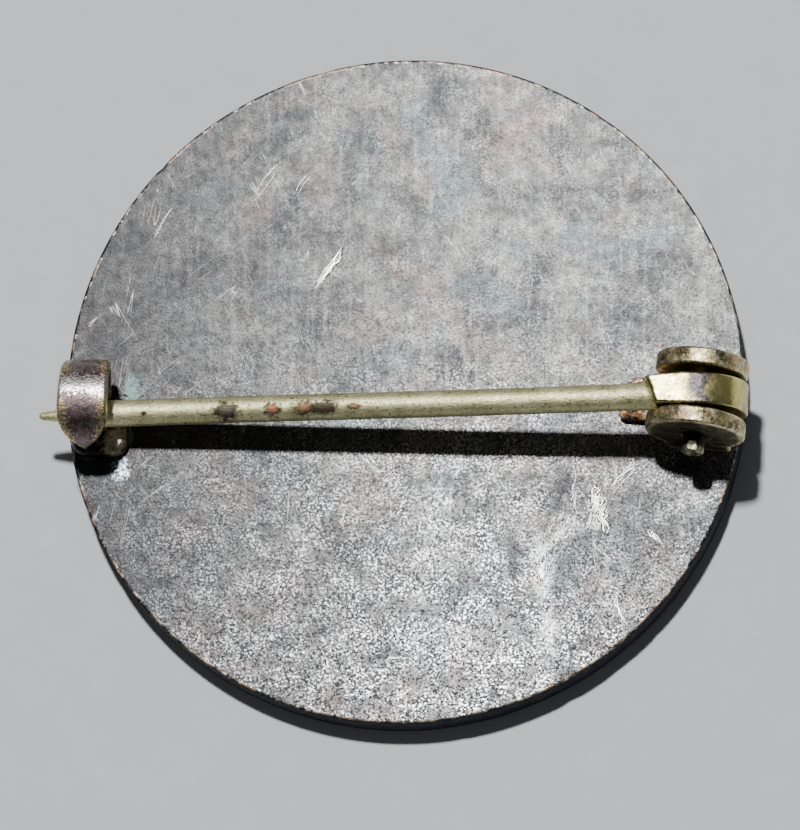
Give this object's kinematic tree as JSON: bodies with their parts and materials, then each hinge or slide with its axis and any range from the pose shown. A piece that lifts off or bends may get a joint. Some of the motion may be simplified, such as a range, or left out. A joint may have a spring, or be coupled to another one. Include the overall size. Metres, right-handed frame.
{
  "type": "button badge",
  "caption": "Round metal badge with a hinged pin soldered across its back: a round wire pin swings on a riveted two-ear hinge and closes into a C-shaped catch.",
  "frame": {"origin": "centre of the front face, which lies face down on Z = 0", "axes": "+Z from the front face to the pin back, +X from the catch to the hinge, +Y along the hinge rivet to within 8 degrees"},
  "size_m": [0.0366, 0.035, 0.0079],
  "materials": {
    "badge_copper": "dark patinated copper, grainy, with a bare copper edge",
    "catch_plating": "worn silver plating over brass",
    "hinge_brass": "mottled brass with a bare copper tongue",
    "knuckle_brass": "worn brass, polished in the middle",
    "pin_brass": "satin khaki brass with dark spots",
    "rivet_steel": "dull",
    "solder_tin": "dull tin solder"
  },
  "bodies": {
    "badge": {"badge_disc": "badge_copper", "catch": "catch_plating", "catch_solder": "solder_tin", "hinge_bracket": "hinge_brass", "hinge_solder": "solder_tin", "hinge_rivet": "rivet_steel"},
    "pin": {"pin_knuckle": "knuckle_brass", "pin_stem": "pin_brass"}
  },
  "joints": [
    {"name": "pin_swing", "type": "hinge", "parent": "badge", "child": "pin", "pos_m": [0.01535, -0.00151, 0.0053], "axis": [0.1217, 0.9912, -0.0523], "range_deg": [0, 170], "deforming": ["pin_stem"]}
  ]
}
